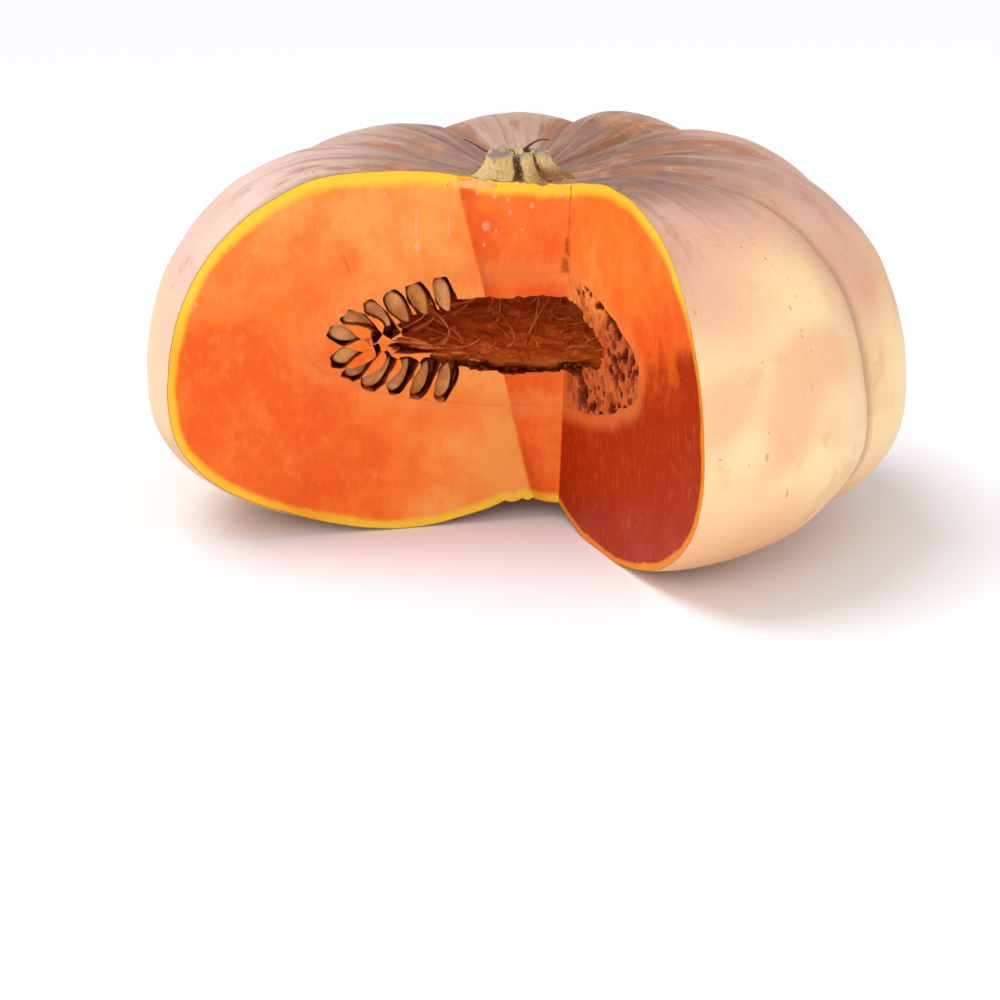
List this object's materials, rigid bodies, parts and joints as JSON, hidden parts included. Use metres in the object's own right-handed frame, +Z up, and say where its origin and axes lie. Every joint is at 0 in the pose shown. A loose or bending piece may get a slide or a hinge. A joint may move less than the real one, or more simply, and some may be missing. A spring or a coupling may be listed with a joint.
{
  "type": "pumpkin",
  "caption": "Large flat ribbed pumpkin with a wedge cut out, showing orange flesh, seed pulp and a dry ridged stem stump.",
  "frame": {"origin": "middle of the object's footprint, on the surface it rests on", "axes": "+Z up along the stem axis; the missing wedge faces -Y"},
  "size_m": [0.3584, 0.3398, 0.1826],
  "materials": {
    "rind_and_flesh": "dusty ribbed rind, moist orange flesh where cut",
    "seed_pulp": "wet, spongy and stringy",
    "seed_coat": "smooth tan seed coat, moist",
    "dry_stem": "dry, ridged, corky"
  },
  "bodies": {
    "root": {"fruit": "rind_and_flesh", "seed_pulp": "seed_pulp", "stem": "dry_stem", "tendril_left": "dry_stem", "tendril_top": "dry_stem", "seed_01": "seed_coat", "seed_02": "seed_coat", "seed_03": "seed_coat", "seed_04": "seed_coat", "seed_05": "seed_coat", "seed_06": "seed_coat", "seed_07": "seed_coat", "seed_08": "seed_coat", "seed_09": "seed_coat", "seed_10": "seed_coat", "seed_11": "seed_coat", "seed_12": "seed_coat", "seed_13": "seed_coat", "seed_14": "seed_coat", "seed_15": "seed_coat", "seed_16": "seed_coat", "seed_17": "seed_coat", "seed_18": "seed_coat", "seed_19": "seed_coat", "seed_20": "seed_coat", "seed_21": "seed_coat", "seed_22": "seed_coat", "seed_23": "seed_coat", "seed_24": "seed_coat", "seed_25": "seed_coat", "seed_26": "seed_coat", "seed_27": "seed_coat", "seed_28": "seed_coat", "seed_29": "seed_coat", "seed_30": "seed_coat"}
  },
  "joints": []
}
